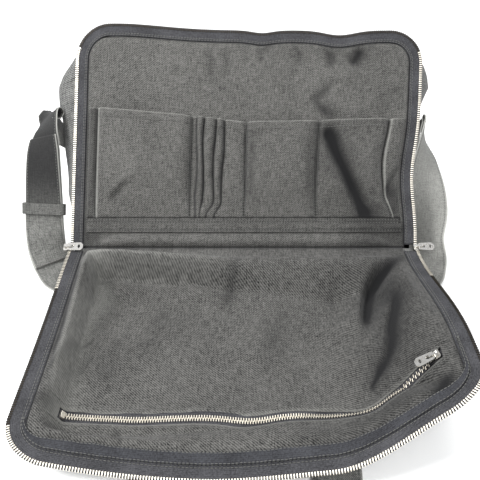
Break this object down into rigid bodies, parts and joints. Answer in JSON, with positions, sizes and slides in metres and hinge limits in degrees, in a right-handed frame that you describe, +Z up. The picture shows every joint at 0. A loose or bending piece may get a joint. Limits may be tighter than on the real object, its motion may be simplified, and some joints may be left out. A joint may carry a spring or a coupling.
{
  "type": "soft zip-round briefcase, lying open",
  "caption": "Soft twill briefcase unzipped and folded open: pocketed back half leaning over a shallow front tray, with shoulder strap and carry handles.",
  "frame": {"origin": "middle of the flat face on which the front half rests on the floor", "axes": "+Z up, +X to the viewer's right along the hinge, +Y from the front half to the leaning back half"},
  "size_m": [0.5048, 0.5311, 0.2411],
  "materials": {
    "shell_twill": "matt washed twill",
    "lining_twill": "matt washed diagonal twill",
    "zip_tape": "matt herringbone tape",
    "strap_webbing": "matt doubled twill",
    "nickel": "satin nickel plate"
  },
  "bodies": {
    "case": {"front_shell": "shell_twill", "front_lining": "lining_twill", "front_tape": "zip_tape", "front_teeth": "nickel", "front_binding": "zip_tape", "pocket_zip_tape": "zip_tape", "pocket_zip_chain": "nickel", "pocket_zip_stop": "nickel", "pocket_zip_slider": "nickel", "back_shell": "shell_twill", "organiser_panel": "lining_twill", "pocket_left_pleat": "lining_twill", "pocket_left": "lining_twill", "pocket_pens": "lining_twill", "pocket_middle": "lining_twill", "pocket_right": "lining_twill", "pocket_right_pleat": "lining_twill", "pocket_band": "lining_twill", "back_tape": "zip_tape", "back_teeth": "nickel", "left_slider": "nickel", "right_slider": "nickel", "shoulder_strap": "strap_webbing", "strap_tail": "strap_webbing", "strap_keeper": "strap_webbing", "front_handle": "strap_webbing", "back_handle": "strap_webbing"},
    "pocket_tab": {"pocket_zip_pull": "nickel"},
    "left_tab": {"left_pull": "nickel"},
    "right_tab": {"right_pull": "nickel"}
  },
  "joints": [
    {"name": "pocket_tab_flip", "type": "hinge", "parent": "case", "child": "pocket_tab", "pos_m": [0.16236, -0.06761, 0.06991], "axis": [-0.131, 0.9874, -0.0891], "range_deg": [0, 150]},
    {"name": "left_tab_flip", "type": "hinge", "parent": "case", "child": "left_tab", "pos_m": [-0.1995, 0.10838, 0.04558], "axis": [0, -0.9026, -0.4305], "range_deg": [0, 150]},
    {"name": "right_tab_flip", "type": "hinge", "parent": "case", "child": "right_tab", "pos_m": [0.1995, 0.10838, 0.04558], "axis": [0, -0.9026, -0.4305], "range_deg": [0, 150]}
  ]
}
